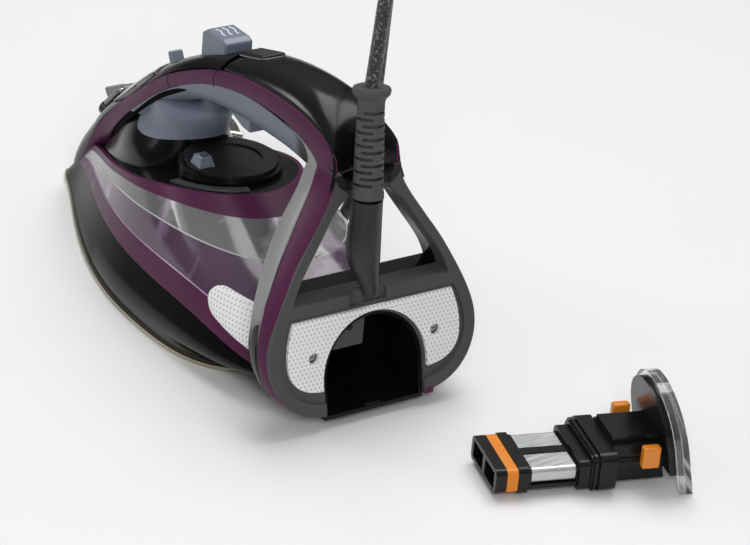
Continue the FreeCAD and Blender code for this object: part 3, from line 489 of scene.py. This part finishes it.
def outwards(index):
    """Unit normal of the heel outline at a ribbon station, as (x, z)."""
    a = RIBBON_HEEL[max(0, index - 1)]
    b = RIBBON_HEEL[min(len(RIBBON_HEEL) - 1, index + 1)]
    dx, dz = b[0] - a[0], b[1] - a[1]
    length = math.hypot(dx, dz)
    return -dz / length, dx / length


def ribbon_edges():
    """Outer edge, inner edge and bevel edge as matched 3-D points on the right-hand side."""
    outer, inner, bevel = [], [], []
    for (y0, z0), (y1, z1) in RIBBON_SIDE:
        outer.append((handle_half(y0, z0) + SKIN_OUT, y0, z0))
        inner.append((handle_half(y1, z1) + SKIN_OUT, y1, z1))
        bevel.append((handle_half(y1, z1) - 0.6, y1 - 0.2, z1 - 0.6))
    # the corner where the ribbon turns from the handle into the heel
    outer += [(20.2, -164.8, 144.0), (19.2, -167.2, 137.0)]
    inner += [(20.9, -148.0, 136.0), (20.9, -152.6, 131.0)]
    bevel[-1] = (20.4, -138.6, 138.2)
    bevel[-2] = (20.4, -130.0, 140.6)
    bevel += [(20.4, -141.6, 133.4), (20.2, -144.0, 128.0)]
    for i, (x, z, depth, reach) in enumerate(RIBBON_HEEL):
        nx, nz = outwards(i)
        outer.append((x, heel_y(z, 0.7), z))
        inner.append((x + nx * INNER_LIFT, heel_y(z, depth), z + nz * INNER_LIFT))
        bevel.append((x + nx * BEVEL_LIFT, heel_y(z, reach), z + nz * BEVEL_LIFT))
    return outer, inner, bevel


def crowned(a, b, count, swell, centre):
    """Points from a to b, swelling away from a centre line in the middle."""
    points = []
    for i in range(count + 1):
        u = i / count
        p = Vector(a).lerp(Vector(b), u)
        away = Vector((p.x - centre[0], 0.0, p.z - centre[1]))
        if away.length > 0:
            p += away.normalized() * swell * 4 * u * (1 - u)
        points.append(tuple(p))
    return points


outer, inner, bevel = ribbon_edges()
ribbon_rows, bevel_rows = [], []
for i, (a, b, c) in enumerate(zip(outer, inner, bevel)):
    on_heel = i >= len(RIBBON_SIDE) + 2
    centre = (0.0, 50.0) if on_heel else (0.0, b[2] - 2.0)
    ribbon_rows.append(crowned(a, b, 6, 0.5, centre))
    bevel_rows.append(crowned(b, c, 4, 0.35, centre))
BEVEL_FROM = len(RIBBON_SIDE) - 3        # the bevel starts just before the corner
for side, rows, strip in (("right", ribbon_rows, bevel_rows), ("left", flipped(ribbon_rows), flipped(bevel_rows))):
    ribbon = surface("ribbon_" + side, rows, SURFACES["aubergine"], "iron_body", 1.6, 2)
    strip = surface("bevel_strip_" + side, strip[BEVEL_FROM:], SURFACES["bevel_fade"], "iron_body", 1.2, 2)
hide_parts("handle_bands", "heel_band")

# black inner face of the heel limbs
LINING_FROM = len(RIBBON_SIDE) + 1
lining_black = moulded("lining_black", (0.005, 0.005, 0.005), 0.6, 900, 0.05, 0.2, shine=0.12)
LINING_STATIONS = 9
LINING_TUCK = 2.6
lining_rows = []
for i in range(LINING_FROM, LINING_FROM + LINING_STATIONS):
    (ax, ay, az), (bx, by, bz), (cx, cy, cz) = outer[i], inner[i], bevel[i]
    lining_rows.append([(ax - LINING_TUCK, ay + 1.5, az - 0.2), (bx - LINING_TUCK - 0.9, by, bz - 0.6),
                        (cx - LINING_TUCK, cy, cz - 0.4)])
for side, rows in (("right", lining_rows), ("left", flipped(lining_rows))):
    lining = surface("limb_lining_" + side, rows, lining_black, "iron_body", 0.6, 1)

# matt black sheet laid in the gap between the ribbon and the parts under it: painted shadow standing in for the
# shade there
painted_shadow_black = moulded("painted_shadow_black", (0.002, 0.002, 0.002), 0.8, 600, 0.05, 0.2, shine=0.05)
painted_shadow_rows = []
for x, y, z in inner[:len(RIBBON_SIDE)]:
    painted_shadow_rows.append([(x - 0.5, y, z), (x - 0.9, y - 0.6, z - 1.6), (x - 1.2, y - 1.2, z - 3.2)])
for side, rows in (("right", painted_shadow_rows), ("left", flipped(painted_shadow_rows))):
    painted_shadow_sheet = surface("ribbon_shadow_gap_" + side, rows, painted_shadow_black, "iron_body", 0.8, 1)

# ---- rear end of the handle, flowing down into the heel --------------------------------
REAR_CENTRES = [(-53.4, None), (-71, None), (-91, None), (-112, None), (-131, None), (-143, 159.2),
                (-152.5, 155.2), (-158.5, 150.3), (-161.5, 144.0), (-163.2, 137.0), (-163.6, 130.0),
                (-163.6, 124.0)]


def cap_profile(steps=12):
    """Partial superellipse from the crown to the ribbon edge: shares across and down."""
    low = math.asin(0.555 ** 1.35)
    shares = []
    for i in range(steps + 1):
        a = math.pi / 2 - (math.pi / 2 - low) * i / steps
        across = math.cos(a) ** 0.7407 / math.cos(low) ** 0.7407
        down = (1 - math.sin(a) ** 0.7407) / (1 - 0.555)
        shares.append((across if i else 0.0, down))
    return shares


def rear_cap_rows():
    first = RIBBON_SIDE.index(((-53, 144.4), (-53, 135.3)))
    edges = outer[first:first + 7] + outer[len(RIBBON_SIDE):len(RIBBON_SIDE) + 2]
    edges += [(19.9, heel_y(128.0, 0.7), 128.0), (22.4, heel_y(122.0, 0.7), 122.0)]
    rows = []
    for (yc, zc), (xe, ye, ze) in zip(REAR_CENTRES, edges):
        if zc is None:
            zc = handle_crown(yc) + 0.25
        half = []
        for across, down in cap_profile():
            half.append((xe * across, yc + (ye - yc) * down, zc + (ze - zc) * down))
        rows.append([(-x, y, z) for x, y, z in reversed(half[1:])] + half)
    return rows


rear = surface("handle_rear", rear_cap_rows(), SURFACES["black_gloss"], "iron_body", 2.0, 1)
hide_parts("rear_handle_shell")

# ---- lines on the body ---------------------------------------------------------------


def tree_of(*names):
    verts, polys = [], []
    for name in names:
        mesh = bpy.data.objects[name].data
        base = len(verts)
        verts += [v.co.copy() for v in mesh.vertices]
        polys += [[base + i for i in p.vertices] for p in mesh.polygons]
    return BVHTree.FromPolygons(verts, polys)


# the side shells, for reading the width of the body
BODY = tree_of("skirt", "lower_band", "tank_side", "tank_window", "upper_band")


def body_half(y, z):
    """Half width of the body at a side-view point, in millimetres."""
    hit = BODY.ray_cast(Vector((0.2, y * MM, z * MM)), Vector((-1, 0, 0)))[0]
    return hit.x / MM if hit else None


def smooth_line(table, y):
    """Hermite reading of a side-view line given as rows (y, z)."""
    table = sorted(table)
    for i in range(len(table) - 1):
        (y0, z0), (y1, z1) = table[i], table[i + 1]
        if y <= y1 or i == len(table) - 2:
            before = table[i - 1] if i else table[i]
            after = table[i + 2] if i + 2 < len(table) else table[i + 1]
            m0 = (z1 - before[1]) / (y1 - before[0])
            m1 = (after[1] - z0) / (after[0] - y0)
            h = y1 - y0
            t = (y - y0) / h
            return ((2 * t ** 3 - 3 * t ** 2 + 1) * z0 + (t ** 3 - 2 * t ** 2 + t) * h * m0
                    + (3 * t ** 2 - 2 * t ** 3) * z1 + (t ** 3 - t ** 2) * h * m1)


# side-view lines of the body as rows (y, z)
BAND_TOP = [(-200, 30), (-150, 37), (-100, 42.5), (-66, 44), (-10, 43.5), (33, 40), (75, 33.5), (100, 27),
            (150, 12)]
TANK_TOP = [(-200, 57), (-150, 60), (-95, 62), (-54, 61), (-22, 58.5), (0, 55.5), (25, 50), (75, 37.5), (100, 30),
            (150, 14)]


def body_line(name, table, radius, material, first, last, rise=0.0, out=0.0, step=7.0):
    """Bead along a side-view line on both sides of the body."""
    count = int((last - first) / step)
    points = []
    for i in range(count + 1):
        y = first + (last - first) * i / count
        z = smooth_line(table, y) + rise
        x = body_half(y, z)
        if x is not None:
            points.append((x + out, y, z))
    for side, run in (("right", points), ("left", [(-x, y, z) for x, y, z in points])):
        line(name + "_" + side, run, radius, material, "iron_body")


lilac_edge = moulded("lilac_edge", (0.34, 0.22, 0.36), 0.25, 900, 0.03, 0.25)
clear_edge = moulded("clear_edge", (0.42, 0.42, 0.43), 0.2, 900, 0.03, 0.2)
body_line("band_top_line", BAND_TOP, 0.45, lilac_edge, -146, 92, 0.5, -0.15)
body_line("tank_top_line", TANK_TOP, 0.5, clear_edge, -146, 84, 0.3, -0.15)

# ---- side badges: rounded dotted plates ------------------------------------------------
badge_dots = dotted("badge_dots", "Y", "Z", 0.0024, 0.0022, (0.80, 0.80, 0.80), (0.52, 0.52, 0.52))
BADGE_FRONT, BADGE_REAR = -107.0, -164.0


def badge_rows():
    rows = []
    steps = 22
    for i in range(steps + 1):
        y = BADGE_FRONT + (BADGE_REAR - BADGE_FRONT) * (i / steps) ** 1.5
        low = smooth_line([(-172, 24.5), (-150, 28), (-125, 33), (-105, 38.5)], y)
        high = smooth_line([(-172, 43.5), (-150, 46.5), (-125, 49.5), (-105, 51.5)], y)
        into = min(1.0, (BADGE_FRONT - y) / 9.0)
        rounding = math.sqrt(max(0.0, 1 - (1 - into) ** 2))
        middle, reach = (low + high) / 2, (high - low) / 2 * max(0.06, rounding)
        row = []
        for j in range(9):
            z = middle - reach + 2 * reach * j / 8
            edge = 0.0 if j in (0, 8) or i == 0 else 0.55
            row.append(((body_half(y, z) or 60.0) + 0.15 + edge, y, z))
        rows.append(row)
    return rows


badge_right = surface("badge_right", badge_rows(), badge_dots, "iron_body", 0.0, 1)
badge_left = surface("badge_left", flipped(badge_rows()), badge_dots, "iron_body", 0.0, 1)
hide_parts("side_badges")

# ---- clear cover over the front of the spine ---------------------------------------------


def handle_arc(y, out, reach, steps=12):
    """Arc over the handle's crown at a station, as far as reach degrees each side."""
    crown, under, half, n = between(HANDLE, y)
    middle, high = (crown + under) / 2, (crown - under) / 2
    row = []
    for i in range(steps + 1):
        a = math.radians(90 - reach + 2 * reach * i / steps)
        c, s = math.cos(a), math.sin(a)
        x = (half + out) * math.copysign(abs(c) ** (2 / n), c)
        row.append((-x, y, middle + (high + out) * abs(s) ** (2 / n)))
    return row


cover_rows = []
for i in range(15):
    y = 14.0 + 50.0 * i / 14
    swell = math.sin(math.pi * i / 14)
    cover_rows.append(handle_arc(y, 0.35 + 1.9 * swell ** 0.6, 52.0 + 6.0 * swell))
cover = surface("front_cover", cover_rows, SURFACES["cap_clear"], "iron_body", 1.0, 1, offset=0.0)

# ---- seams, button marks, insert outline ---------------------------------------------------
seam_black = moulded("seam_black", (0.004, 0.004, 0.004), 0.6, 500, 0.05)
for number, index in (("one", 10), ("two", 13)):
    across = crowned(outer[index], inner[index], 5, 1.6, (0.0, inner[index][2] - 2.0))
    for side, sign in (("right", 1), ("left", -1)):
        run = [(sign * (x + 1.35), y, z) for x, y, z in across]
        line("seam_" + number + "_" + side, run, 0.3, seam_black, "iron_body")
white_mark = moulded("white_mark", (0.75, 0.75, 0.77), 0.45, 600, 0.03)
for number, (x, bend) in enumerate(((-4.2, -1.2), (0.0, -1.6), (4.2, -1.2))):
    stroke = [(x, -34.0, 153.75), (x + bend, -31.5, 153.9), (x - bend, -28.0, 153.95),
              (x + bend * 0.6, -24.5, 153.95)]
    line("steam_stroke_%d" % number, stroke, 0.42, white_mark, "steam_button_body")


def insert_top(y):
    return 155.5 - 0.2736 * (y + 64.0)


ring = []
for i in range(24):
    a = 2 * math.pi * i / 24
    c, s = math.cos(a), math.sin(a)
    x = 8.2 * math.copysign(abs(c) ** 0.45, c)
    y = -64.2 + 12.9 * math.copysign(abs(s) ** 0.45, s)
    ring.append((x, y, max(handle_crown(y) - 0.012 * x * x * 0.6 + 0.15, insert_top(y) - 1.6)))
line("insert_outline", ring, 0.4, moulded("outline_grey", (0.16, 0.16, 0.17), 0.3), "iron_body", closed=True)

# ---- bent stem under the cord guard ----------------------------------------------------------
STEM_BASE = Vector((-8.5, -185.0, 71.0))
STEM_AXIS = Vector((0.063, 0.165, 1.0)).normalized()
# distance along the axis, sideways shift, half width, half depth
STEM = [(-2.5, 4.2, 2.6, 3.0), (-1.0, 4.2, 4.2, 4.4), (3, 3.6, 5.0, 5.0), (8, 2.0, 6.2, 5.8), (13, 0.4, 7.8, 6.8),
        (18, -0.9, 9.0, 7.8), (25, -1.4, 9.5, 8.3), (32, -1.1, 9.2, 8.3), (40, -0.5, 8.5, 8.1), (46, -0.1, 8.2, 8.1),
        (50.6, 0.0, 8.15, 8.1)]
stem_rows = []
for distance, shift, wide, deep in STEM:
    centre = STEM_BASE + STEM_AXIS * distance
    row = []
    for i in range(24):
        a = 2 * math.pi * i / 24
        row.append((centre.x + shift + wide * math.cos(a), centre.y + deep * math.sin(a), centre.z))
    stem_rows.append(row)
stem = surface("bent_stem", stem_rows, SURFACES["guard_satin"], "iron_body", 0.0, 2, closed=True)
bm = bmesh.new()
bm.from_mesh(stem.data)
bm.verts.ensure_lookup_table()
bm.faces.new([bm.verts[i] for i in range(24)])
bmesh.ops.recalc_face_normals(bm, faces=bm.faces)
bm.to_mesh(stem.data)
bm.free()
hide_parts("guard_stem")

# ---- heel and bay trim ---------------------------------------------------------------------


def block(name, low, high, material, body, round_by=0.5):
    """Small moulded block with rounded edges between two corners in millimetres."""
    mesh = bpy.data.meshes.new(name)
    bm = bmesh.new()
    bmesh.ops.create_cube(bm, size=1.0)
    size = [(b - a) * MM for a, b in zip(low, high)]
    middle = Vector([(a + b) / 2 * MM for a, b in zip(low, high)])
    bmesh.ops.scale(bm, vec=size, verts=bm.verts)
    bmesh.ops.bevel(bm, geom=bm.edges, offset=round_by * MM, segments=3, affect="EDGES", profile=0.6)
    bmesh.ops.translate(bm, vec=middle, verts=bm.verts)
    for face in bm.faces:
        face.smooth = True
    bm.to_mesh(mesh)
    bm.free()
    mesh.materials.append(material)
    piece = bpy.data.objects.new(name, mesh)
    bpy.context.scene.collection.objects.link(piece)
    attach(piece, body)
    return piece


block("band_end", (30.9, -193.2, 6.6), (36.5, -184.0, 10.4), SURFACES["aubergine"], "iron_body", 0.8)
block("bay_slot", (-4.5, -190.4, 6.6), (4.5, -188.6, 7.35), seam_black, "iron_body", 0.2)


def tapered_block(name, low, high, top, material, body):
    """Moulded lug that narrows to a share of its width at the top."""
    piece = block(name, low, high, material, body, 0.01)
    centre = Vector([(a + b) / 2 * MM for a, b in zip(low, high)])
    tall = (high[2] - low[2]) * MM
    for vert in piece.data.vertices:
        up = (vert.co.z - low[2] * MM) / tall
        share = 1 - (1 - top) * up
        vert.co.x = centre.x + (vert.co.x - centre.x) * share
        vert.co.y = centre.y + (vert.co.y - centre.y) * share
    rounding = piece.modifiers.new("rounding", "BEVEL")
    rounding.width = 0.7 * MM
    rounding.segments = 3
    return piece


lug = tapered_block("pointer_lug", (-24.0, -47.2, 84.0), (-14.2, -36.8, 90.0), 0.66,
                    SURFACES["button_blue"], "dial_body")
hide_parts("dial_pointer")
tapered_block("pointer_facet", (-22.7, -45.9, 88.6), (-15.5, -38.2, 90.12), 0.7,
              SURFACES["pointer_silver"], "dial_body")

# ---- camera, floor, light ---------------------------------------------------------------
HEADING, PITCH, ROLL = math.radians(36.2), math.radians(26.7), math.radians(5.15)
CAMERA_PLACE = Vector((-0.8448, -1.3359, 0.7991))


def make_camera():
    data = bpy.data.cameras.new("camera")
    data.sensor_width = 36.0
    data.lens = 150.4
    data.clip_end = 20.0
    ahead = Vector((math.sin(HEADING) * math.cos(PITCH), math.cos(HEADING) * math.cos(PITCH), -math.sin(PITCH)))
    level = Vector((math.cos(HEADING), -math.sin(HEADING), 0.0))
    upright = level.cross(ahead)
    right = level * math.cos(ROLL) + upright * math.sin(ROLL)
    up = upright * math.cos(ROLL) - level * math.sin(ROLL)
    camera = bpy.data.objects.new("camera", data)
    turn = Matrix((right, up, -ahead)).transposed()
    camera.matrix_world = Matrix.Translation(CAMERA_PLACE) @ turn.to_4x4()
    bpy.context.scene.collection.objects.link(camera)
    bpy.context.scene.camera = camera


def make_floor():
    mesh = bpy.data.meshes.new("floor")
    half = 6.0
    mesh.from_pydata([(-half, -half, 0), (half, -half, 0), (half, half, 0), (-half, half, 0)], [], [(0, 1, 2, 3)])
    floor = bpy.data.objects.new("floor", mesh)
    floor.location.z = -0.0002
    bpy.context.scene.collection.objects.link(floor)
    n = Nodes("pale_floor")
    n.link(n.ramp(n.noise(3.0), 0.3, 0.7, (0.74, 0.74, 0.74), (0.76, 0.76, 0.76)), n.shader.inputs["Base Color"])
    n.shader.inputs["Roughness"].default_value = 0.55
    mesh.materials.append(n.material)


def area_light(name, place, target, size, power):
    data = bpy.data.lights.new(name, "AREA")
    data.shape = "RECTANGLE"
    data.size, data.size_y = size
    data.energy = power
    light = bpy.data.objects.new(name, data)
    light.location = place
    aim = Vector(target) - Vector(place)
    light.rotation_euler = aim.to_track_quat("-Z", "Y").to_euler()
    bpy.context.scene.collection.objects.link(light)


def make_world():
    world = bpy.data.worlds.new("studio")
    world.use_nodes = True
    tree = world.node_tree
    background = tree.nodes["Background"]
    place = tree.nodes.new("ShaderNodeTexCoord")
    split = tree.nodes.new("ShaderNodeSeparateXYZ")
    ramp = tree.nodes.new("ShaderNodeValToRGB")
    ramp.color_ramp.elements[0].position = 0.05
    ramp.color_ramp.elements[0].color = (0.05, 0.05, 0.052, 1)
    ramp.color_ramp.elements[1].position = 0.75
    ramp.color_ramp.elements[1].color = (0.55, 0.55, 0.55, 1)
    tree.links.new(place.outputs["Generated"], split.inputs["Vector"])
    tree.links.new(split.outputs["Z"], ramp.inputs["Fac"])
    tree.links.new(ramp.outputs["Color"], background.inputs["Color"])
    background.inputs["Strength"].default_value = 0.8
    bpy.context.scene.world = world


make_camera()
make_floor()
make_world()
area_light("overhead", (0.45, 0.3, 1.7), (0.05, 0, 0), (1.3, 1.3), 25)
area_light("front_softbox", (-1.0, 1.0, 0.7), (0, 0, 0.08), (0.45, 0.3), 4.2)
area_light("back_softbox", (-0.7, -1.3, 0.9), (0, -0.1, 0.08), (0.5, 0.4), 9.5)
bpy.context.scene.view_settings.view_transform = "Standard"
